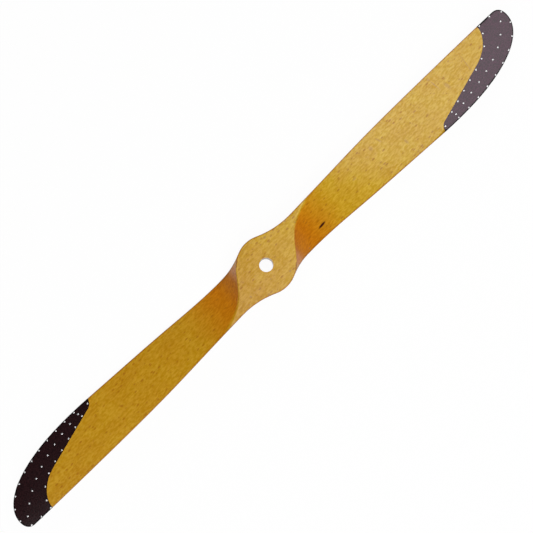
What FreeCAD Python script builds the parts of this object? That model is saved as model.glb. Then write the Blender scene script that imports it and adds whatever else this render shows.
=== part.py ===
import FreeCAD, Part
import math
import os

from FreeCAD import Vector

# Two-bladed wooden propeller for a model aircraft, carved from one block, with riveted tip sheaths.
# It lies on its front face, the one that seats on the drive washer, with the rear face upwards.
# The origin is the centre of the bore on that front face. +Z runs along the bore to the rear face,
# +X along the first blade. The second blade is the first one turned half round the bore.
# The leading edge of the first blade is its -Y edge. All lengths are in millimetres.

# Whole propeller
DIAMETER = 508.0
PITCH = 203.2
HUB_THICKNESS = 22.0
HUB_DIAMETER = 43.0
BORE_DIAMETER = 10.2

# Planform: distance of each edge from the blade's axis, the stations as shares of the radius
LEADING_ROOT_OFFSET = 16.3
LEADING_OFFSETS = {0.235: 17.9, 0.335: 20.5, 0.45: 23.2, 0.60: 26.4}
LEADING_WIDEST_OFFSET = 28.2
LEADING_FLARE_RADIUS = 52.0
TRAILING_ROOT_OFFSET = 12.75
TRAILING_OFFSETS = {0.30: 13.0, 0.44: 13.25, 0.60: 12.4, 0.78: 10.7}
TRAILING_TIP_OFFSET = 8.5
TRAILING_TIP_SLOPE = -0.055
TRAILING_FLARE_RADIUS = 64.0
TIP_SWEEP_LENGTH = 67.0
TIP_SWEEP_FULLNESS = 0.85
TIP_CORNER_LENGTH = 7.6
TIP_CORNER_FULLNESS = 0.92
TIP_RUN_OUT_CURVATURE = 0.0035

# Sections across the blade
ROOT_THICKNESS = 11.4
TIP_THICKNESS = 2.4
THICKNESS_TAPER_POWER = 1.25
LEADING_EDGE_THICKNESS = 1.7
TRAILING_EDGE_THICKNESS = 1.4
ROOT_EDGE_THICKNESS = 5.0
ROOT_EDGE_STATION = 34.0
EDGE_THINNING_LENGTH = 50.0
REAR_FACE_CROWN = 0.35
CAMBER_LEAN = 3.0

# Root: the rear and front faces swell out of the pitch surface into the hub
ROOT_PITCH_SOFTENING = 13.0
ROOT_SWELL_STATION = 27.1
ROOT_SWELL_BLEND = 4.18
ROOT_SWELL_SLOPE = 2.17
ROOT_CHORD_MIDDLE = -1.75
ROOT_CHORD_STATION = 51.0

# Tip sheaths, let into the wood so that they lie flush with it. Places are given by their distance
# from the tip and from the blade's axis. The two tips were fitted and riveted by hand, so they differ.
SHEATH_THICKNESS = 0.4
SHEATH_JOINT_GAP = 0.06
SHEATH_THUMB = ((23.0, 8.3), (23.8, -5.2), (42.0, -9.8))
SHEATH_TOE = ((89.0, -21.4), (92.7, -22.3), (94.0, -27.0))
SHEATH_THUMB_FULLNESS = 0.72
SHEATH_TOE_FULLNESS = 0.95
SHEATH_THUMB_SHIFTS = {1: 0.6, 2: -1.2}
SHEATH_TOE_SHIFTS = {1: 1.2, 2: -2.1}

# Rivets through blade and sheath, in three rows on each blade
RIVET_HEAD_DIAMETER = 1.5
RIVET_CROWN_DIAMETER = 0.8
RIVET_HEAD_HEIGHT = 0.3
RIVET_HEAD_SIDES = 6
RIVET_SHANK_WIDTH = 0.7
RIVET_SHANK_SIDES = 4
RIVET_HOLE_CLEARANCE = 0.03
RIVET_SEAT_GAP = 0.02
INNER_ROW_COUNT = 8
INNER_ROW_INSET = 1.2
INNER_ROW_START = 5.4
INNER_ROW_PITCHES = {1: 8.85, 2: 9.3}
TOE_RIVET_PLACE = (91.2, -24.3)
MIDDLE_ROW_COUNTS = {1: 9, 2: 10}
MIDDLE_ROW_LINES = {
    1: ((7.1, -0.6), (22.1, -12.3), (41.2, -18.4), (78.4, -23.8)),
    2: ((7.1, 0.8), (23.0, -10.2), (46.7, -19.0), (83.4, -24.0)),
}
EDGE_ROW_COUNTS = {1: 12, 2: 14}
EDGE_ROW_INSET = 0.95
EDGE_ROW_STARTS = {1: 21.2, 2: 23.3}
EDGE_ROW_ENDS = {1: 76.8, 2: 80.1}

# Derived sizes
RADIUS = DIAMETER / 2
HUB_RADIUS = HUB_DIAMETER / 2
MID_HEIGHT = HUB_THICKNESS / 2
CAMBER_TOP = (CAMBER_LEAN + 1 - math.sqrt((CAMBER_LEAN + 1) ** 2 - 3 * CAMBER_LEAN)) / 3
BLADES = (1, 2)

# Reach of cutting shapes past the wood
OVERHANG = 3.0
HUB_OVERHANG = 8.0
HOLE_OVERHANG = 1.0
CUT_START = 6.0
CUT_HEIGHT = 4 * HUB_THICKNESS
TIP_CORE_START = RADIUS / 2

# Fineness of the carved faces, with the stations across the blade drawn closer towards the hub
CHORD_STEPS = 8
SPAN_STEPS = 26
SPAN_CROWDING = 1.5
SLOPE_STEP = 0.05


def curve_along_x(points, start_slope, end_slope):
    """A smooth curve that meets each point where its parameter is the point's own x."""
    curve = Part.BSplineCurve()
    curve.interpolate(
        Points=points,
        Parameters=[point.x for point in points],
        InitialTangent=Vector(1, start_slope, 0),
        FinalTangent=Vector(1, end_slope, 0),
    )
    return curve


def flare_end(root_offset, flare_radius):
    """Distance along the blade at which a hub flare runs into the blade's edge."""
    reach = HUB_RADIUS + flare_radius
    return math.sqrt(reach**2 - (root_offset + flare_radius) ** 2)


def flare_arc(side, root_offset, flare_radius):
    """The hollow arc between hub and blade edge; side is -1 for the leading edge, 1 for the trailing."""
    end_x = flare_end(root_offset, flare_radius)
    centre = Vector(end_x, side * (root_offset + flare_radius), 0)
    start = centre * (HUB_RADIUS / centre.Length)
    end = Vector(end_x, side * root_offset, 0)
    middle = (start - centre).normalize() + (end - centre).normalize()
    return Part.Arc(start, centre + middle.normalize() * flare_radius, end)


LEADING_START = flare_end(LEADING_ROOT_OFFSET, LEADING_FLARE_RADIUS)
TRAILING_START = flare_end(TRAILING_ROOT_OFFSET, TRAILING_FLARE_RADIUS)
LEADING_END = RADIUS - TIP_SWEEP_LENGTH
TRAILING_END = RADIUS - TIP_CORNER_LENGTH


def leading_edge(inset=0.0):
    points = [Vector(LEADING_START, inset - LEADING_ROOT_OFFSET, 0)]
    for share, offset in LEADING_OFFSETS.items():
        points.append(Vector(share * RADIUS, inset - offset, 0))
    points.append(Vector(LEADING_END, inset - LEADING_WIDEST_OFFSET, 0))
    return curve_along_x(points, 0.0, 0.0)


def trailing_edge(inset=0.0):
    points = [Vector(TRAILING_START, TRAILING_ROOT_OFFSET - inset, 0)]
    for share, offset in TRAILING_OFFSETS.items():
        points.append(Vector(share * RADIUS, offset - inset, 0))
    points.append(Vector(TRAILING_END, TRAILING_TIP_OFFSET - inset, 0))
    return curve_along_x(points, 0.0, TRAILING_TIP_SLOPE)


def rounded_corner(start, corner, end, fullness):
    """A smooth quarter turn from start to end, drawn the more into the corner the fuller it is."""
    arc = Part.BSplineCurve()
    arc.buildFromPolesMultsKnots([start, corner, end], [3, 3], [0, 1], False, 2, [1, fullness, 1])
    return arc


def tip_curves(inset=0.0):
    """The tip: a long sweep in from the leading edge, then a tight corner to the trailing edge."""
    leading = Vector(LEADING_END, inset - LEADING_WIDEST_OFFSET, 0)
    trailing = Vector(TRAILING_END, TRAILING_TIP_OFFSET - inset, 0)
    nose = Vector(RADIUS - inset, 0, 0)
    return [
        rounded_corner(leading, Vector(nose.x, leading.y, 0), nose, TIP_SWEEP_FULLNESS),
        rounded_corner(nose, Vector(nose.x, trailing.y, 0), trailing, TIP_CORNER_FULLNESS),
    ]


LEADING_LINE = leading_edge()
TRAILING_LINE = trailing_edge()


def leading_y(x):
    """The leading edge's line, run on past the tip's sweep so that it never meets the trailing one."""
    if x < LEADING_END:
        return LEADING_LINE.value(max(x, LEADING_START)).y
    return TIP_RUN_OUT_CURVATURE * (x - LEADING_END) ** 2 - LEADING_WIDEST_OFFSET


def trailing_y(x):
    if x < TRAILING_END:
        return TRAILING_LINE.value(max(x, TRAILING_START)).y
    return TRAILING_TIP_OFFSET + TRAILING_TIP_SLOPE * (x - TRAILING_END)


def pitch_slope(x):
    """Rise of the pitch surface for each millimetre across the blade, at the distance x out."""
    return PITCH / (2 * math.pi * math.hypot(x, ROOT_PITCH_SOFTENING))


def chord_middle(x):
    """The middle between both edges, settling to the root's own middle at the hub."""
    middle = (leading_y(x) + trailing_y(x)) / 2
    blend = 1 / (1 + math.exp((ROOT_CHORD_STATION - x) / ROOT_SWELL_BLEND))
    return ROOT_CHORD_MIDDLE + blend * (middle - ROOT_CHORD_MIDDLE)


def blade_share(x, y):
    """0 on the leading edge's line, 1 on the trailing edge's."""
    return (y - leading_y(x)) / (trailing_y(x) - leading_y(x))


def pitch_height(x, y):
    return MID_HEIGHT + pitch_slope(x) * (y - chord_middle(x))


def edge_half_thickness(x, y):
    share = blade_share(x, y)
    thin = LEADING_EDGE_THICKNESS + share * (TRAILING_EDGE_THICKNESS - LEADING_EDGE_THICKNESS)
    thick = math.exp((ROOT_EDGE_STATION - x) / EDGE_THINNING_LENGTH)
    thickness = thin + thick * (ROOT_EDGE_THICKNESS - thin)
    return thickness * math.hypot(1, pitch_slope(x)) / 2


def root_swell(x):
    grown = math.exp((ROOT_SWELL_STATION - x) / ROOT_SWELL_BLEND)
    return ROOT_SWELL_SLOPE * ROOT_SWELL_BLEND * math.log(1 + grown)


def rear_height(x, y):
    """The face that pushes the air, nearly flat across the blade."""
    share = blade_share(x, y)
    crown = REAR_FACE_CROWN * 4 * share * (1 - share)
    return pitch_height(x, y) + edge_half_thickness(x, y) + crown + root_swell(x)


def arch_height(share):
    """An arch between two ends that leans towards the first."""
    return share * (1 - share) * (CAMBER_LEAN - share)


def camber_share(share):
    """The front face's arch: 0 at both edges and 1 at its highest, nearer to the leading edge."""
    inside = min(max(share, 0), 1)
    return arch_height(inside) / arch_height(CAMBER_TOP)


def front_height(x, y):
    """The curved face that pulls."""
    out = min(x / RADIUS, 1.0)
    thickness = TIP_THICKNESS + (ROOT_THICKNESS - TIP_THICKNESS) * (1 - out) ** THICKNESS_TAPER_POWER
    middle = (leading_y(x) + trailing_y(x)) / 2
    arch = thickness * math.hypot(1, pitch_slope(x)) - 2 * edge_half_thickness(x, middle)
    arch = max(arch, 0) * camber_share(blade_share(x, y))
    return pitch_height(x, y) - edge_half_thickness(x, y) - arch - root_swell(x)


def face_surface(height, shift):
    """One carved face of the first blade, reaching past the wood on every side."""
    stations = []
    reach = RADIUS + OVERHANG
    for step in range(SPAN_STEPS + 1):
        share = step / SPAN_STEPS
        stations.append(CUT_START + (reach - CUT_START) * share**SPAN_CROWDING)
    rows = []
    for x in stations:
        spread = OVERHANG + HUB_OVERHANG * max(0.0, 1 - x / TRAILING_START)
        low = leading_y(x) - spread
        high = trailing_y(x) + spread
        row = []
        for step in range(CHORD_STEPS + 1):
            y = low + (high - low) * step / CHORD_STEPS
            row.append(Vector(x, y, height(x, y) + shift))
        rows.append(row)
    surface = Part.BSplineSurface()
    surface.interpolate(rows)
    return surface.toShape()


def carving_cuts(depth=0.0):
    """All that is carved off above and below the first blade, each face the given depth further in."""
    above = face_surface(rear_height, -depth).extrude(Vector(0, 0, CUT_HEIGHT))
    below = face_surface(front_height, depth).extrude(Vector(0, 0, -CUT_HEIGHT))
    return [above, below]


def half_turn(shape):
    """The same shape on the second blade."""
    turned = shape.copy()
    turned.rotate(Vector(0, 0, 0), Vector(0, 0, 1), 180)
    return turned


def on_blade(shape, blade):
    return shape if blade == 1 else half_turn(shape)


def blank():
    """The sawn block: the outline of hub and blades at full thickness."""
    lead_arc = flare_arc(-1, LEADING_ROOT_OFFSET, LEADING_FLARE_RADIUS)
    trail_arc = flare_arc(1, TRAILING_ROOT_OFFSET, TRAILING_FLARE_RADIUS)
    outline = [lead_arc, leading_edge(), *tip_curves(), trailing_edge(), trail_arc]
    first = [curve.toShape() for curve in outline]
    second = [half_turn(edge) for edge in first]
    lead_foot = lead_arc.StartPoint
    trail_foot = trail_arc.StartPoint
    hub_side = Part.Arc(trail_foot, Vector(0, HUB_RADIUS, 0), -lead_foot).toShape()
    edges = first + second + [hub_side, half_turn(hub_side)]
    wire = Part.Wire(Part.__sortEdges__(edges))
    return Part.Face(wire).extrude(Vector(0, 0, HUB_THICKNESS))


def carved_block():
    """Hub and both blades as carved, before the tips are let in."""
    bore = Part.makeCylinder(BORE_DIAMETER / 2, HUB_THICKNESS + 2 * OVERHANG, Vector(0, 0, -OVERHANG))
    block = blank().cut(bore)
    for cut in carving_cuts():
        block = block.cut(cut).cut(half_turn(cut))
    return block


def tip_core(depth):
    """The wood left of the first blade's outer part when its outside is taken down by depth."""
    leading = leading_edge(depth)
    trailing = trailing_edge(depth)
    edges = [curve.toShape() for curve in tip_curves(depth)] + [
        leading.toShape(TIP_CORE_START, leading.LastParameter),
        trailing.toShape(TIP_CORE_START, trailing.LastParameter),
        Part.LineSegment(trailing.value(TIP_CORE_START), leading.value(TIP_CORE_START)).toShape(),
    ]
    wire = Part.Wire(Part.__sortEdges__(edges))
    core = Part.Face(wire).extrude(Vector(0, 0, HUB_THICKNESS))
    for cut in carving_cuts(depth):
        core = core.cut(cut)
    return core


def tip_place(place, shift=0.0):
    """A place given by its distances from the tip and from the blade's axis."""
    back, offset = place
    return Vector(RADIUS - back + shift, offset, 0)


def border(blade, gap=0.0):
    """The sheath's inner border: round its thumb, then straight to a small toe at the leading edge."""
    thumb_shift = SHEATH_THUMB_SHIFTS[blade] - gap
    toe_shift = SHEATH_TOE_SHIFTS[blade] - gap
    heel, thumb, thumb_end = (tip_place(place, thumb_shift) for place in SHEATH_THUMB)
    toe_start, toe, toe_end = (tip_place(place, toe_shift) for place in SHEATH_TOE)
    return Part.Wire([
        rounded_corner(heel, thumb, thumb_end, SHEATH_THUMB_FULLNESS).toShape(),
        Part.LineSegment(thumb_end, toe_start).toShape(),
        rounded_corner(toe_start, toe, toe_end, SHEATH_TOE_FULLNESS).toShape(),
    ])


def sheath_region(blade, gap=0.0):
    """Everything on the tip's side of the sheath's border, through the whole thickness."""
    line = border(blade, gap)
    start = line.OrderedVertexes[0].Point
    end = line.OrderedVertexes[-1].Point
    reach = RADIUS + OVERHANG
    side = HUB_RADIUS + LEADING_WIDEST_OFFSET
    corners = [end, Vector(end.x, -side, 0), Vector(reach, -side, 0), Vector(reach, side, 0),
               Vector(start.x, side, 0), start]
    base = Part.Face(Part.Wire(line.Edges + Part.makePolygon(corners).Edges))
    base.translate(Vector(0, 0, -OVERHANG))
    return base.extrude(Vector(0, 0, HUB_THICKNESS + 2 * OVERHANG))


def surface_normal(height, x, y):
    """Upward direction square to a carved face."""
    rise_x = (height(x + SLOPE_STEP, y) - height(x - SLOPE_STEP, y)) / (2 * SLOPE_STEP)
    rise_y = (height(x, y + SLOPE_STEP) - height(x, y - SLOPE_STEP)) / (2 * SLOPE_STEP)
    return Vector(-rise_x, -rise_y, 1).normalize()


def rivet_seats(place):
    """Where a rivet comes out of the rear and the front face, each with its upward normal."""
    rear = Vector(place.x, place.y, rear_height(place.x, place.y))
    rear_normal = surface_normal(rear_height, place.x, place.y)
    drop = rear_height(place.x, place.y) - front_height(place.x, place.y)
    front = rear - rear_normal * (drop * rear_normal.z)
    front.z = front_height(front.x, front.y)
    return rear, rear_normal, front, surface_normal(front_height, front.x, front.y)


def bar_corners(sides, diameter, centre, axis, plane_point, normal):
    """Where a many-sided bar crosses a plane; one corner lies towards the tip."""
    forward = (Vector(1, 0, 0) - axis * axis.x).normalize()
    side = axis.cross(forward)
    corners = []
    for corner in range(sides):
        angle = 2 * math.pi * corner / sides
        start = centre + (forward * math.cos(angle) + side * math.sin(angle)) * (diameter / 2)
        corners.append(start + axis * ((plane_point - start).dot(normal) / axis.dot(normal)))
    return corners


def flat_face(corners):
    return Part.Face(Part.makePolygon(corners + corners[:1]))


def side_faces(low, high):
    """The flat sides between two outlines of as many corners."""
    faces = []
    for number, corner in enumerate(low):
        before = number - 1
        faces.append(flat_face([low[before], corner, high[number], high[before]]))
    return faces


def rivet(place):
    """A square pin through blade and sheath, with a low six-sided head on each face."""
    rear, rear_normal, front, front_normal = rivet_seats(place)
    axis = (rear - front).normalize()
    faces = []
    shank_ends = []
    for seat, outward in ((rear, rear_normal), (front, -front_normal)):
        base = seat + outward * RIVET_SEAT_GAP
        top = base + outward * RIVET_HEAD_HEIGHT
        rim = bar_corners(RIVET_HEAD_SIDES, RIVET_HEAD_DIAMETER, base, outward, base, outward)
        crown = bar_corners(RIVET_HEAD_SIDES, RIVET_CROWN_DIAMETER, top, outward, top, outward)
        shank_end = bar_corners(RIVET_SHANK_SIDES, RIVET_SHANK_WIDTH, seat, axis, base, outward)
        underside = flat_face(rim).cut(flat_face(shank_end))
        faces += [flat_face(crown)] + side_faces(rim, crown) + underside.Faces
        shank_ends.append(shank_end)
    faces += side_faces(*shank_ends)
    shell = Part.Shell(faces)
    shell.sewShape()
    return Part.Solid(Part.Shell(shell.Faces))


def rivet_hole(place):
    """What is punched for a rivet, out past both faces."""
    rear, _, front, _ = rivet_seats(place)
    axis = (rear - front).normalize()
    start = front - axis * HOLE_OVERHANG
    width = RIVET_SHANK_WIDTH + 2 * RIVET_HOLE_CLEARANCE
    outline = flat_face(bar_corners(RIVET_SHANK_SIDES, width, start, axis, start, axis))
    return outline.extrude(axis * ((rear - front).Length + 2 * HOLE_OVERHANG))


def point_along(line, distance):
    """The place at a distance along a line of joined edges, and the line's direction there."""
    for edge in line.Edges:
        if distance < edge.Length:
            break
        distance -= edge.Length
    parameter = edge.getParameterByLength(distance)
    return edge.valueAt(parameter), edge.tangentAt(parameter)


def inner_row(blade):
    """Places along the sheath's border, a little way in from it, and one more in its toe."""
    line = border(blade)
    row = []
    for step in range(INNER_ROW_COUNT):
        place, along = point_along(line, INNER_ROW_START + step * INNER_ROW_PITCHES[blade])
        row.append(place + Vector(-along.y, along.x, 0) * INNER_ROW_INSET)
    return row + [tip_place(TOE_RIVET_PLACE, SHEATH_TOE_SHIFTS[blade])]


def middle_row(blade):
    """Places down the middle of the sheath."""
    line = Part.BSplineCurve()
    line.interpolate([tip_place(place) for place in MIDDLE_ROW_LINES[blade]])
    return line.toShape().discretize(Number=MIDDLE_ROW_COUNTS[blade])


def edge_row(blade):
    """Places round the rim of the tip."""
    trailing = trailing_edge(EDGE_ROW_INSET)
    leading = leading_edge(EDGE_ROW_INSET)
    rim = [curve.toShape() for curve in tip_curves(EDGE_ROW_INSET)] + [
        trailing.toShape(RADIUS - EDGE_ROW_STARTS[blade], trailing.LastParameter),
        leading.toShape(RADIUS - EDGE_ROW_ENDS[blade], leading.LastParameter),
    ]
    return Part.Wire(Part.__sortEdges__(rim)).discretize(Number=EDGE_ROW_COUNTS[blade])


ROWS = {"inner": inner_row, "middle": middle_row, "edge": edge_row}


def main():
    os.makedirs("parts", exist_ok=True)
    block = carved_block()
    wood = block
    sheaths = []
    for blade in BLADES:
        places = {row: place_row(blade) for row, place_row in ROWS.items()}
        holes = [on_blade(rivet_hole(place), blade) for row in ROWS for place in places[row]]
        tip = block.common(on_blade(sheath_region(blade), blade))
        shell = tip.cut(on_blade(tip_core(SHEATH_THICKNESS), blade))
        sheaths += shell.cut(holes).Solids
        let_in = sheath_region(blade, SHEATH_JOINT_GAP).cut(tip_core(SHEATH_THICKNESS + SHEATH_JOINT_GAP))
        wood = wood.cut(on_blade(let_in, blade)).cut(holes)
        for row in ROWS:
            rivets = [on_blade(rivet(place), blade) for place in places[row]]
            Part.Compound(rivets).exportStep(f"parts/{row}_rivets_{blade}.step")
    Part.Compound(sheaths).exportStep("parts/tip_sheaths.step")
    wood.exportStep("parts/carved_propeller.step")


main()
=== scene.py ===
import math

import bmesh
import bpy
from mathutils import Matrix, Vector
from mathutils.bvhtree import BVHTree


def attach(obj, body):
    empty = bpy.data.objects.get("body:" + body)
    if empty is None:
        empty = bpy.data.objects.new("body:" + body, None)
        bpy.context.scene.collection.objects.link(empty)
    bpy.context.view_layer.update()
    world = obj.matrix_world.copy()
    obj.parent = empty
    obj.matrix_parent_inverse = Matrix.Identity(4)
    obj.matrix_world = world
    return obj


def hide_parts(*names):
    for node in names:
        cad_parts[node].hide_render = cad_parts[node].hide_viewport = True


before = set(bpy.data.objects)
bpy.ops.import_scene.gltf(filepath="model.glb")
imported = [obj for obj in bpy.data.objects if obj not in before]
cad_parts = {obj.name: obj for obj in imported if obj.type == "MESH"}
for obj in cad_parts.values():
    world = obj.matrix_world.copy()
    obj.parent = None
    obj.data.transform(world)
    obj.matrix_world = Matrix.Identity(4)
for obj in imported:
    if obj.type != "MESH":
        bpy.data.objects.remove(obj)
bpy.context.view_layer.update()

MM = 0.001

# The camera looks almost straight down on the rear face of the hub.
CAMERA_AIM = Vector((-0.75 * MM, -0.94 * MM, 22 * MM))
CAMERA_DISTANCE = 850 * MM
CAMERA_LEAN_ALONG_BLADES = math.radians(-2.2)
CAMERA_LEAN_ACROSS_BLADES = math.radians(-1.08)
BLADE_ANGLE_IN_PICTURE = math.radians(46.3)
LENS = 80.53
SENSOR_WIDTH = 36.0

# One soft box hangs over the leading edge of the right-hand blade. Two fill lamps stand low where
# neither blade's root mirrors them, and the rest of the room is dark above the skirting.
SOFT_BOX_HEIGHT = 1.25
SOFT_BOX_LENGTH = 2.2
SOFT_BOX_NEAR_SIDE = 0.05
SOFT_BOX_FAR_SIDE = -0.875
SOFT_BOX_POWER = 18.5
FILL_LAMPS = (((1.3, 1.3, 1.0), 17.0), ((-1.3, -1.3, 1.0), 9.5))
FILL_LAMP_SIZE = 1.0
WALL_TOP = 0.03
WALL_FADE = 0.06
WALL_LIGHT = 0.95
CEILING_LIGHT = 0.03

FLOOR_SIZE = 8.0
FLOOR_COLOUR = (0.9, 0.9, 0.9, 1)
FLOOR_GLOW_SHARE = 0.96
WHITE = (1, 1, 1, 1)

# The edges of the wood are sanded round, and those of the sheaths a little less. A rounding needs
# a clear strip beside it, given here in widths of the rounding.
EXACT_NORMAL = "exact_normal"
EDGE_DISTANCE = "edge_distance"
MERGE_DISTANCE = 0.001 * MM
WOOD_ROUNDING = 0.6 * MM
SHEATH_ROUNDING = 0.45 * MM
WOOD_STRIP = 1.3
SHEATH_STRIP = 1.2
ROUNDING_STEPS = 3
ROUNDED_ANGLE = math.radians(28)
UPRIGHT = 0.8
SAME_SIDE = 0.3
BORE_REACH = 8 * MM
SHEATH_JOINT_REACH = 0.5 * MM
SHEATH_RIM_WIDTH = 0.7 * MM
WOOD_FACE_LENGTH = 3.0 * MM
SHEATH_FACE_LENGTH = 1.5 * MM
REFINING_PASSES = 3
OUTLINE_STEEPNESS = 0.6

RIVET_HEAD_RADIUS = 0.64 * MM
RIVET_HEAD_HEIGHT = 0.13 * MM
RIVET_SHANK_RADIUS = 0.35 * MM
RIVET_SKIRT = 0.37 * MM
RIVET_DOME_STEPS = 5
RIVET_SIDES = 16

# From here on, lengths on the object are in millimetres and colours are linear. The left-hand
# blade's colour turns into the right-hand blade's across this span of the hub.
# The right-hand blade's paler gold is a painted highlight: the soft box's light and sheen painted into
# the wood's colour.
BLADE_CHANGE = (-40, 40)

# The wood goes from amber, where the blades drop away from the hub's flat face, to gold.
DEEP_GOLD = (0.505, 0.256, 0.009, 1)
PAINTED_LIT_GOLD = (0.572, 0.335, 0.013, 1)
# The amber is partly end grain and partly painted shade, where the hub's wall shades the blade roots.
AMBER_AND_ROOT_SHADE = (0.52, 0.165, 0.001, 1)
AMBER_START = (12, 18)
DULL_START = (18, 26)
ROOT_END = (34, 78)
ROOT_DULLNESS = 0.9
BELOW_HUB_FACE = (20.8, 21.9)
WOOD_GLOSS = (0.5, 0.9)
# Painted shade: a dark line along the wood's outer edges, for the dark room mirrored in their
# rounding.
WOOD_EDGE_SHADE_LINE = {"Full Within": 0.3, "Gone Beyond": 0.9, "Strength": 0.8}
WOOD_EDGE_SHADE = (0.34, 0.115, 0.002, 1)

# Each layer of mottling has its scale in cycles a millimetre, its detail, and its two tints.
STREAKS = ((0.03, 0.3, 0.3), 4.0, (0.97, 0.95, 0.9, 1), (1.03, 1.05, 1.1, 1))
CLOUDS = ((0.07, 0.07, 0.07), 2.0, (0.98, 0.95, 0.9, 1), (1.02, 1.05, 1.1, 1))
GRANULES = ((0.33, 0.8, 0.8), 2.0, (0.90, 0.85, 0.3, 1), (1.10, 1.15, 1.7, 1))
DUST = ((1.2, 1.2, 1.2), 1.0, (0.5, 0.4, 0.5, 1), (1.5, 1.6, 1.5, 1))
MOTTLE_RANGE = (0.3, 0.7)

# Flecks and pores lie one to a cell of a loose grid, and most cells stay empty or nearly so.
FLECKS = {"cell": (4.6, 2.1, 2.1), "turn": math.radians(-12), "widest": 0.34, "edge": 0.14}
FLECK_COLOUR = (0.34, 0.11, 0.003, 1)
FLECK_STRENGTH = 0.6
PORES = {"cell": (4.6, 4.6, 4.6), "turn": 0.0, "widest": 0.24, "edge": 0.1}
PORE_COLOUR = (0.27, 0.13, 0.05, 1)
PORE_STRENGTH = 0.45
PORES_END = (30, 44)
EMPTY_CELLS = 0.25

KNOT_PLACE = (49.4, -9.0, 12.0)
KNOT_HALF_SIZE = (3.3, 0.8, 12.0)
KNOT_TURN = math.radians(4)
KNOT_SOFTNESS = 0.35
KNOT_COLOUR = (0.045, 0.006, 0.001, 1)

# Each faint stain has its place, its half size and its turn from the line of the blades in degrees.
STAINS = (
    ((113.2, 3.7), (1.5, 1.7), 0),
    ((121.5, 4.0), (0.7, 2.6), 20),
    ((135.7, -11.5), (1.0, 1.9), 10),
    ((89.4, -3.0), (1.6, 0.7), 0),
    ((178.3, 8.0), (1.2, 1.2), 0),
    ((179.2, 2.0), (0.45, 4.5), 6),
    ((185.5, -5.0), (1.2, 3.0), 10),
    ((206.8, -3.5), (0.4, 7.0), -8),
)
STAIN_HEIGHT = 10
STAIN_HALF_DEPTH = 20
STAIN_SOFTNESS = 0.7
STAIN_STRENGTH = 0.3
STAIN_COLOUR = (0.30, 0.13, 0.07, 1)

# The right-hand sheath's paler, purpler maroon is a painted reflection of the soft box.
DARK_MAROON = (0.014, 0.003, 0.004, 1)
PAINTED_HAZE_MAROON = (0.041, 0.004, 0.022, 1)
# Painted shade: the sheath's outer edges are painted near black, for the dark room mirrored in their
# rounding.
SHEATH_EDGE_SHADE_LINE = {"Full Within": 0.6, "Gone Beyond": 1.0, "Strength": 1.0}
SHEATH_EDGE_SHADE = (0.003, 0.0015, 0.002, 1)
SHEATH_GLOSS = (0.85, 0.1)

METAL_COLOUR = (0.72, 0.72, 0.73, 1)
METAL_HANDLING = {"Scale": (3.0, 3.0, 3.0), "Detail": 3.0}
METAL_ROUGHNESS = 0.35
METAL_DULLING = 0.2


def node(tree, kind, inputs=None, **settings):
    """Adds one shader node, and sets or links each input that is named or numbered."""
    made = tree.nodes.new(kind)
    for name, value in settings.items():
        setattr(made, name, value)
    for name, value in (inputs or {}).items():
        if isinstance(value, bpy.types.NodeSocket):
            tree.links.new(value, made.inputs[name])
        else:
            made.inputs[name].default_value = value
    return made


def maths(tree, operation, first, second=0.0):
    """One sum on two numbers."""
    return node(tree, "ShaderNodeMath", {0: first, 1: second}, operation=operation).outputs[0]


def mixed(tree, share, first, second, blend="MIX"):
    """The colour a share of the way from the first colour to the second."""
    inputs = {0: share, 6: first, 7: second}
    return node(tree, "ShaderNodeMix", inputs, data_type="RGBA", blend_type=blend).outputs[2]


def ramp(tree, value, low, high, to_low=0.0, to_high=1.0):
    """A number moved smoothly from one span to another, and held at its ends."""
    inputs = {"Value": value, 1: low, 2: high, 3: to_low, 4: to_high}
    return node(tree, "ShaderNodeMapRange", inputs, interpolation_type="SMOOTHSTEP").outputs[0]


def placed(tree, vector, scale, location=(0, 0, 0), turn=0.0, kind="POINT"):
    """The vector through a Mapping node."""
    inputs = {"Vector": vector, "Location": location, "Rotation": (0, 0, turn), "Scale": scale}
    return node(tree, "ShaderNodeMapping", inputs, vector_type=kind).outputs[0]


def millimetres(tree):
    """The place on the object, in millimetres from the bore's axis."""
    place = node(tree, "ShaderNodeTexCoord").outputs["Object"]
    return placed(tree, place, (1000, 1000, 1000))


def new_group(name, inputs, output):
    """A group of nodes that is still empty, with its inputs' names and kinds and one output."""
    group = bpy.data.node_groups.new(name, "ShaderNodeTree")
    for title, kind in inputs.items():
        group.interface.new_socket(title, in_out="INPUT", socket_type=kind)
    group.interface.new_socket(output, in_out="OUTPUT", socket_type="NodeSocketFloat")
    return group, node(group, "NodeGroupInput").outputs


def mottle_group():
    """Soft mottling from 0 to 1, at a scale in cycles a millimetre."""
    kinds = {"Place": "NodeSocketVector", "Scale": "NodeSocketVector", "Detail": "NodeSocketFloat"}
    group, given = new_group("mottle", kinds, "Amount")
    scaled = placed(group, given["Place"], given["Scale"])
    inputs = {"Vector": scaled, "Scale": 1.0, "Detail": given["Detail"]}
    noise = node(group, "ShaderNodeTexNoise", inputs).outputs[0]
    node(group, "NodeGroupOutput", {"Amount": ramp(group, noise, *MOTTLE_RANGE)})
    return group


def edge_shade_line_group():
    """How strongly the painted shade along a piece's outer edges shows, from its distance."""
    kinds = dict.fromkeys(("Full Within", "Gone Beyond", "Strength"), "NodeSocketFloat")
    group, given = new_group("edge_shade_line", kinds, "Amount")
    distance = node(group, "ShaderNodeAttribute", attribute_name=EDGE_DISTANCE).outputs["Fac"]
    line = ramp(group, distance, given["Full Within"], given["Gone Beyond"], given["Strength"], 0.0)
    node(group, "NodeGroupOutput", {"Amount": line})
    return group


def amount(tree, group, inputs):
    """What a group gives in this material, for this material's own values."""
    return node(tree, "ShaderNodeGroup", inputs, node_tree=group).outputs["Amount"]


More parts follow.
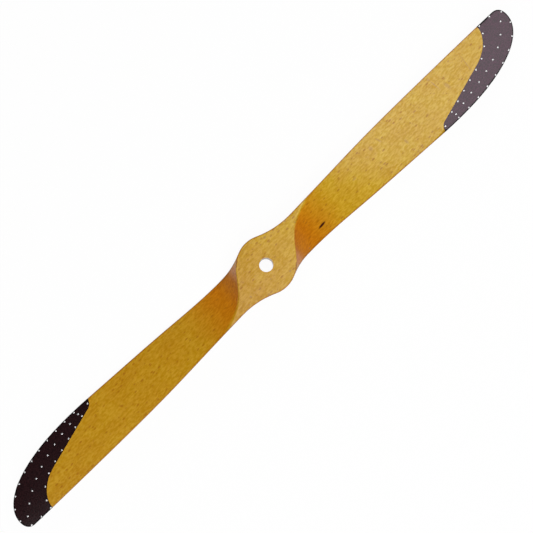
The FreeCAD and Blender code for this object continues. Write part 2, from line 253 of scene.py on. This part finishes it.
def mottled(tree, mottle, place, colour, layer):
    """The colour under one layer of mottling, and the mottling itself."""
    scale, detail, dark, pale = layer
    mottling = amount(tree, mottle, {"Place": place, "Scale": scale, "Detail": detail})
    tint = mixed(tree, mottling, dark, pale)
    return mixed(tree, 1.0, colour, tint, "MULTIPLY"), mottling


def spot(tree, place, centre, half_size, turn, softness):
    """1 inside an ellipse and 0 outside it, with a soft edge."""
    inside = placed(tree, place, half_size, centre, turn, kind="TEXTURE")
    reach = node(tree, "ShaderNodeVectorMath", {0: inside}, operation="LENGTH").outputs["Value"]
    return ramp(tree, reach, 1.0 - softness, 1.0 + softness, 1.0, 0.0)


def scattered(tree, place, cell, turn, widest, edge):
    """Lens-shaped spots of many sizes, one in each cell of a loose grid."""
    scale = tuple(1 / length for length in cell)
    inputs = {"Vector": placed(tree, place, scale, turn=turn), "Scale": 1.0}
    dots = node(tree, "ShaderNodeTexVoronoi", inputs)
    chance = node(tree, "ShaderNodeSeparateColor", {0: dots.outputs["Color"]}).outputs[0]
    width = ramp(tree, chance, EMPTY_CELLS, 1.0, 0.0, widest)
    beyond = maths(tree, "SUBTRACT", dots.outputs["Distance"], width)
    return ramp(tree, beyond, -edge, edge / 2, 1.0, 0.0)


def new_material(name):
    """A material with its tree and shader."""
    material = bpy.data.materials.new(name)
    material.use_nodes = True
    tree = material.node_tree
    return material, tree, tree.nodes["Principled BSDF"]


def marked(tree, place, from_hub, colour):
    """The wood's colour with its flecks, the hub's pores, the faint stains and the knot."""
    flecks = scattered(tree, place, **FLECKS)
    colour = mixed(tree, maths(tree, "MULTIPLY", flecks, FLECK_STRENGTH), colour, FLECK_COLOUR)
    pores = scattered(tree, place, **PORES)
    on_hub = ramp(tree, from_hub, *PORES_END, PORE_STRENGTH, 0.0)
    colour = mixed(tree, maths(tree, "MULTIPLY", pores, on_hub), colour, PORE_COLOUR)
    for (x, y), (half_length, half_width), turn in STAINS:
        centre = (x, y, STAIN_HEIGHT)
        half_size = (half_length, half_width, STAIN_HALF_DEPTH)
        stain = spot(tree, place, centre, half_size, math.radians(turn), STAIN_SOFTNESS)
        colour = mixed(tree, maths(tree, "MULTIPLY", stain, STAIN_STRENGTH), colour, STAIN_COLOUR)
    knot = spot(tree, place, KNOT_PLACE, KNOT_HALF_SIZE, KNOT_TURN, KNOT_SOFTNESS)
    return mixed(tree, knot, colour, KNOT_COLOUR)


def golden_beech(mottle, edge_shade_line):
    """Golden varnish over flat-sawn beech, with a painted highlight on the right-hand blade, amber
    beside the hub partly from end grain and partly painted shade, duller there, and painted shade on
    the edges.
    """
    material, tree, shader = new_material("golden_beech")
    place = millimetres(tree)
    along, _, height = node(tree, "ShaderNodeSeparateXYZ", {0: place}).outputs
    from_hub = maths(tree, "ABSOLUTE", along)
    below_face = ramp(tree, height, *BELOW_HUB_FACE, 1.0, 0.0)
    in_root = maths(tree, "MULTIPLY", below_face, ramp(tree, from_hub, *ROOT_END, 1.0, 0.0))

    # Painted highlight: the right-hand blade is painted paler where it faces the soft box.
    colour = mixed(tree, ramp(tree, along, *BLADE_CHANGE), DEEP_GOLD, PAINTED_LIT_GOLD)
    # Partly end grain, partly painted shade where the hub's wall shades the blade roots.
    amber_and_shade_share = maths(tree, "MULTIPLY", in_root, ramp(tree, from_hub, *AMBER_START))
    colour = mixed(tree, amber_and_shade_share, colour, AMBER_AND_ROOT_SHADE)
    for layer in (STREAKS, CLOUDS, GRANULES):
        colour, granules = mottled(tree, mottle, place, colour, layer)
    colour = marked(tree, place, from_hub, colour)
    # Painted shade: the outer edges are painted darker, for the dark room mirrored in their rounding.
    colour = mixed(tree, amount(tree, edge_shade_line, WOOD_EDGE_SHADE_LINE), colour, WOOD_EDGE_SHADE)
    tree.links.new(colour, shader.inputs["Base Color"])

    inputs = {"Height": granules, "Strength": 0.3, "Distance": 0.05 * MM}
    relief = node(tree, "ShaderNodeBump", inputs)
    tree.links.new(relief.outputs[0], shader.inputs["Normal"])
    dull_share = maths(tree, "MULTIPLY", in_root, ramp(tree, from_hub, *DULL_START))
    shine = maths(tree, "SUBTRACT", 1.0, maths(tree, "MULTIPLY", dull_share, ROOT_DULLNESS))
    gloss = maths(tree, "MULTIPLY", ramp(tree, granules, 0.0, 1.0, *WOOD_GLOSS), shine)
    tree.links.new(gloss, shader.inputs["Coat Weight"])
    shader.inputs["Roughness"].default_value = 0.5
    shader.inputs["Specular IOR Level"].default_value = 0.05
    shader.inputs["Coat Roughness"].default_value = 0.25
    return material


def maroon_lacquer(mottle, edge_shade_line):
    """Dark maroon lacquer with dust in it, paled on the right-hand blade by a painted reflection and
    blackened along the edges by painted shade.
    """
    material, tree, shader = new_material("maroon_lacquer")
    place = millimetres(tree)
    along = node(tree, "ShaderNodeSeparateXYZ", {0: place}).outputs[0]
    # Painted reflection: the right-hand sheath is painted paler and purpler where it mirrors the soft
    # box.
    colour = mixed(tree, ramp(tree, along, *BLADE_CHANGE), DARK_MAROON, PAINTED_HAZE_MAROON)
    colour, _ = mottled(tree, mottle, place, colour, DUST)
    # Painted shade: the edges are painted near black.
    edge = amount(tree, edge_shade_line, SHEATH_EDGE_SHADE_LINE)
    colour = mixed(tree, edge, colour, SHEATH_EDGE_SHADE)
    tree.links.new(colour, shader.inputs["Base Color"])
    tree.links.new(ramp(tree, edge, 0.0, 1.0, *SHEATH_GLOSS), shader.inputs["Coat Weight"])
    shader.inputs["Roughness"].default_value = 0.6
    shader.inputs["Specular IOR Level"].default_value = 0.02
    shader.inputs["Coat Roughness"].default_value = 0.25
    return material


def bright_metal(mottle):
    """Drawn aluminium, dulled by handling."""
    material, tree, shader = new_material("bright_metal")
    handling = amount(tree, mottle, {"Place": millimetres(tree), **METAL_HANDLING})
    dulling = maths(tree, "MULTIPLY", handling, METAL_DULLING)
    roughness = maths(tree, "ADD", dulling, METAL_ROUGHNESS)
    tree.links.new(roughness, shader.inputs["Roughness"])
    shader.inputs["Base Color"].default_value = METAL_COLOUR
    shader.inputs["Metallic"].default_value = 1.0
    return material


def merged(node_name):
    """A node's loose triangles as one skin that remembers their exact normals."""
    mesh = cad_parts[node_name].data
    shape = bmesh.new()
    shape.from_mesh(mesh)
    exact = shape.loops.layers.float_vector.new(EXACT_NORMAL)
    for face, triangle in zip(shape.faces, mesh.polygons):
        for corner, index in zip(face.loops, triangle.loop_indices):
            corner[exact] = mesh.corner_normals[index].vector
    bmesh.ops.remove_doubles(shape, verts=shape.verts, dist=MERGE_DISTANCE)
    return shape


def finished(mesh, finish, node_name):
    """Makes the piece that stands for a node, with its finish."""
    mesh.materials.clear()
    mesh.materials.append(finish)
    piece = bpy.data.objects.new(mesh.name, mesh)
    bpy.context.scene.collection.objects.link(piece)
    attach(piece, "root")
    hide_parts(node_name)


def wall_width(edge, face):
    """How far a triangle reaches from one of its sides."""
    return 2 * face.calc_area() / edge.calc_length()


def is_outer(edge):
    """Whether an edge is a sharp corner between two outside faces."""
    if not edge.is_manifold or not edge.is_convex or edge.calc_face_angle() < ROUNDED_ANGLE:
        return False
    first, second = (corner.co for corner in edge.verts)
    return abs((second - first).normalized().z) < UPRIGHT


def is_bore_rim(edge):
    """Whether an edge runs round the bore."""
    return all(math.hypot(corner.co.x, corner.co.y) < BORE_REACH for corner in edge.verts)


def wood_edges(shape, sheath):
    """The wood's outer edges, apart from the bore's and those beside or under a sheath."""
    def is_covered(edge):
        middle = (edge.verts[0].co + edge.verts[1].co) / 2
        return sheath.find_nearest(middle, SHEATH_JOINT_REACH)[0] is not None

    return [edge for edge in shape.edges
            if is_outer(edge) and not is_bore_rim(edge) and not is_covered(edge)]


def sheath_edges(shape):
    """The sheath's edges along the outline of the blade, without its thin rims and its rivet holes."""
    def is_rim(edge):
        wall = min(edge.link_faces, key=lambda face: abs(face.normal.z))
        return wall_width(edge, wall) < SHEATH_RIM_WIDTH

    return [edge for edge in shape.edges if is_outer(edge) and not is_rim(edge)]


def clear_room(shape, edges, room):
    """Takes out the corners that lie too close beside the edges for a rounding to pass."""
    kept = {corner for edge in edges for corner in edge.verts}
    crowding = set()
    for edge in edges:
        for face in edge.link_faces:
            if len(face.verts) == 3 and wall_width(edge, face) < room:
                crowding.update(corner for corner in face.verts if corner not in kept)
    crowding = sorted(crowding, key=lambda corner: corner.index)
    bmesh.ops.dissolve_verts(shape, verts=crowding)
    bmesh.ops.triangulate(shape, faces=[face for face in shape.faces if len(face.verts) > 3])


def round_edges(shape, edges, width):
    """Rounds the edges and returns the new faces."""
    made = bmesh.ops.bevel(shape, geom=edges, offset=width, offset_type="OFFSET", affect="EDGES",
                           segments=ROUNDING_STEPS, profile=0.5, material=-1, clamp_overlap=False)
    return set(made["faces"])


def refine(shape, rounded, longest):
    """Splits the long sides of all faces but the rounded ones."""
    for _ in range(REFINING_PASSES):
        split = [edge for edge in shape.edges if edge.calc_length() > longest
                 and not any(face in rounded for face in edge.link_faces)]
        bmesh.ops.subdivide_edges(shape, edges=split, cuts=1)
        opened = [face for face in shape.faces if len(face.verts) > 3 and face not in rounded]
        bmesh.ops.triangulate(shape, faces=opened)


def measure_edges(shape, rounded):
    """Notes at each corner how far it lies from the piece's outline, in millimetres."""
    distance = shape.verts.layers.float.new(EDGE_DISTANCE)
    shape.normal_update()
    corners, strips = [], []
    for face in shape.faces:
        if face in rounded and abs(face.normal.z) <= OUTLINE_STEEPNESS:
            strips.append(range(len(corners), len(corners) + len(face.verts)))
            corners.extend(corner.co for corner in face.verts)
    skin = BVHTree.FromPolygons(corners, strips)
    for corner in shape.verts:
        corner[distance] = skin.find_nearest(corner.co)[3] / MM


def smooth_mesh(shape, name, rounded):
    """The finished mesh, with exact normals on the old faces and flowing ones on the rounded edges."""
    exact = shape.loops.layers.float_vector[EXACT_NORMAL]
    normals = []
    for face in shape.faces:
        face.smooth = True
        for corner in face.loops:
            if face not in rounded:
                normals.append(corner[exact].normalized())
                continue
            beside = [other[exact] for other in corner.vert.link_loops
                      if other.face not in rounded and other[exact].dot(face.normal) > SAME_SIDE]
            round_about = [other.normal for other in corner.vert.link_faces if other in rounded]
            normals.append(sum(beside or round_about, Vector()).normalized())
    mesh = bpy.data.meshes.new(name)
    shape.to_mesh(mesh)
    shape.free()
    mesh.normals_split_custom_set(normals)
    mesh.attributes.remove(mesh.attributes[EXACT_NORMAL])
    return mesh


def smoothed(shape, edges_of, rounding, strip, face_length, name):
    """Rounds a piece's edges, splits its long faces and measures it from its outline."""
    clear_room(shape, edges_of(shape), strip * rounding)
    rounded = round_edges(shape, edges_of(shape), rounding)
    refine(shape, rounded, face_length)
    measure_edges(shape, rounded)
    return smooth_mesh(shape, name, rounded)


def bodies(shape):
    """The corners of each separate body of a mesh."""
    met = set()
    for start in shape.verts:
        if start in met:
            continue
        met.add(start)
        waiting, body = [start], []
        while waiting:
            corner = waiting.pop()
            body.append(corner.co.copy())
            beside = [edge.other_vert(corner) for edge in corner.link_edges]
            fresh = [other for other in beside if other not in met]
            met.update(fresh)
            waiting.extend(fresh)
        yield body


def rivet_profile(reach):
    """One side of a rivet's outline, from the crown of one head to the crown of the other."""
    seat = reach - RIVET_HEAD_HEIGHT
    dome_radius = (RIVET_HEAD_RADIUS ** 2 + RIVET_HEAD_HEIGHT ** 2) / (2 * RIVET_HEAD_HEIGHT)
    dome_angle = math.asin(RIVET_HEAD_RADIUS / dome_radius)
    half = []
    for step in range(RIVET_DOME_STEPS + 1):
        angle = dome_angle * step / RIVET_DOME_STEPS
        half.append((dome_radius * math.sin(angle), reach - dome_radius * (1 - math.cos(angle))))
    half.append((RIVET_HEAD_RADIUS, seat - RIVET_SKIRT))
    half.append((RIVET_SHANK_RADIUS, seat - RIVET_SKIRT))
    return half + [(radius, -height) for radius, height in reversed(half)]


def add_rivet(shape, place, reach):
    """Turns one rivet from its outline and adds it to the others."""
    rivet = bmesh.new()
    outline = [rivet.verts.new((radius, 0, height)) for radius, height in rivet_profile(reach)]
    lines = [rivet.edges.new(pair) for pair in zip(outline, outline[1:])]
    bmesh.ops.spin(rivet, geom=outline + lines, axis=(0, 0, 1), cent=(0, 0, 0),
                   angle=2 * math.pi, steps=RIVET_SIDES, use_merge=True)
    bmesh.ops.remove_doubles(rivet, verts=rivet.verts, dist=MERGE_DISTANCE)
    bmesh.ops.recalc_face_normals(rivet, faces=rivet.faces)
    bmesh.ops.transform(rivet, matrix=place, verts=rivet.verts)
    mesh = bpy.data.meshes.new("rivet")
    rivet.to_mesh(mesh)
    rivet.free()
    shape.from_mesh(mesh)
    bpy.data.meshes.remove(mesh)


def add_rivets(node_name, finish):
    """Round domed heads in place of the plain six-sided ones."""
    plain = merged(node_name)
    shape = bmesh.new()
    for body in bodies(plain):
        centre = sum(body, Vector()) / len(body)
        upper = [corner for corner in body if corner.z > centre.z]
        axis = (sum(upper, Vector()) / len(upper) - centre).normalized()
        reach = max((corner - centre).dot(axis) for corner in body)
        place = Matrix.Translation(centre) @ axis.to_track_quat("Z", "Y").to_matrix().to_4x4()
        add_rivet(shape, place, reach)
    plain.free()
    for face in shape.faces:
        face.smooth = True
    for edge in shape.edges:
        edge.smooth = edge.calc_face_angle(0) < ROUNDED_ANGLE
    mesh = bpy.data.meshes.new("domed_" + node_name)
    shape.to_mesh(mesh)
    shape.free()
    finished(mesh, finish, node_name)


def add_pieces():
    """The finished pieces, each in place of its node."""
    mottle = mottle_group()
    edge_shade_line = edge_shade_line_group()
    sheath = merged("tip_sheaths")
    sheath_skin = BVHTree.FromBMesh(sheath)

    mesh = smoothed(merged("carved_propeller"), lambda shape: wood_edges(shape, sheath_skin),
                    WOOD_ROUNDING, WOOD_STRIP, WOOD_FACE_LENGTH, "sanded_propeller")
    finished(mesh, golden_beech(mottle, edge_shade_line), "carved_propeller")

    mesh = smoothed(sheath, sheath_edges,
                    SHEATH_ROUNDING, SHEATH_STRIP, SHEATH_FACE_LENGTH, "lacquered_tip_sheaths")
    finished(mesh, maroon_lacquer(mottle, edge_shade_line), "tip_sheaths")

    metal = bright_metal(mottle)
    for row in ("inner", "middle", "edge"):
        for blade in (1, 2):
            add_rivets(f"{row}_rivets_{blade}", metal)


def white_floor():
    """White paint that glows white to the eye and still holds the shadow."""
    material = bpy.data.materials.new("white_floor")
    material.use_nodes = True
    tree = material.node_tree
    tree.nodes.clear()
    rays = node(tree, "ShaderNodeLightPath")
    seen = maths(tree, "MAXIMUM", rays.outputs["Is Camera Ray"], rays.outputs["Is Glossy Ray"])
    seen = maths(tree, "MAXIMUM", seen, rays.outputs["Is Transmission Ray"])
    share = maths(tree, "MULTIPLY", seen, FLOOR_GLOW_SHARE)
    paint = node(tree, "ShaderNodeBsdfDiffuse", {"Color": FLOOR_COLOUR})
    glow = node(tree, "ShaderNodeEmission", {"Color": WHITE, "Strength": 1.0})
    mix = node(tree, "ShaderNodeMixShader", {0: share, 1: paint.outputs[0], 2: glow.outputs[0]})
    node(tree, "ShaderNodeOutputMaterial", {"Surface": mix.outputs[0]})
    return material


def add_floor():
    """A flat white table under the hub."""
    mesh = bpy.data.meshes.new("floor")
    sheet = bmesh.new()
    bmesh.ops.create_grid(sheet, x_segments=1, y_segments=1, size=FLOOR_SIZE / 2)
    sheet.to_mesh(mesh)
    sheet.free()
    mesh.materials.append(white_floor())
    floor = bpy.data.objects.new("floor", mesh)
    bpy.context.scene.collection.objects.link(floor)


def add_lamp(name, place, aim, width, height, power):
    """A rectangular lamp that the camera doesn't see."""
    lamp = bpy.data.lights.new(name, "AREA")
    lamp.shape = "RECTANGLE"
    lamp.size = width
    lamp.size_y = height
    lamp.energy = power
    box = bpy.data.objects.new(name, lamp)
    turn = (Vector(aim) - Vector(place)).to_track_quat("-Z", "Y").to_matrix().to_4x4()
    box.matrix_world = Matrix.Translation(place) @ turn
    box.visible_camera = False
    bpy.context.scene.collection.objects.link(box)


def add_lights():
    """The soft box, the two fill lamps, and the room as the world."""
    middle = (SOFT_BOX_NEAR_SIDE + SOFT_BOX_FAR_SIDE) / 2
    depth = SOFT_BOX_NEAR_SIDE - SOFT_BOX_FAR_SIDE
    place, aim = (0, middle, SOFT_BOX_HEIGHT), (0, middle, 0)
    add_lamp("soft_box", place, aim, SOFT_BOX_LENGTH, depth, SOFT_BOX_POWER)
    for place, power in FILL_LAMPS:
        add_lamp("fill_lamp", place, (0, 0, 0), FILL_LAMP_SIZE, FILL_LAMP_SIZE, power)

    world = bpy.data.worlds.new("room")
    world.use_nodes = True
    tree = world.node_tree
    tree.nodes.clear()
    way = node(tree, "ShaderNodeTexCoord").outputs["Generated"]
    height = node(tree, "ShaderNodeSeparateXYZ", {0: way}).outputs[2]
    strength = ramp(tree, height, WALL_TOP, WALL_TOP + WALL_FADE, WALL_LIGHT, CEILING_LIGHT)
    sky = node(tree, "ShaderNodeBackground", {"Color": WHITE, "Strength": strength})
    node(tree, "ShaderNodeOutputWorld", {"Surface": sky.outputs[0]})
    bpy.context.scene.world = world


def add_camera():
    """The camera at the photograph's place."""
    along = math.sin(CAMERA_LEAN_ALONG_BLADES)
    across = math.sin(CAMERA_LEAN_ACROSS_BLADES)
    back = Vector((along, across, math.sqrt(1 - along ** 2 - across ** 2)))
    right = Vector((math.cos(BLADE_ANGLE_IN_PICTURE), -math.sin(BLADE_ANGLE_IN_PICTURE), 0))
    right = (right - right.dot(back) * back).normalized()
    up = back.cross(right)
    lens = bpy.data.cameras.new("camera")
    lens.lens = LENS
    lens.sensor_width = SENSOR_WIDTH
    camera = bpy.data.objects.new("camera", lens)
    turn = Matrix((right, up, back)).transposed()
    camera.matrix_world = Matrix.Translation(CAMERA_AIM + CAMERA_DISTANCE * back) @ turn.to_4x4()
    bpy.context.scene.collection.objects.link(camera)
    bpy.context.scene.camera = camera


bpy.context.scene.view_settings.view_transform = "Standard"
add_pieces()
add_floor()
add_lights()
add_camera()
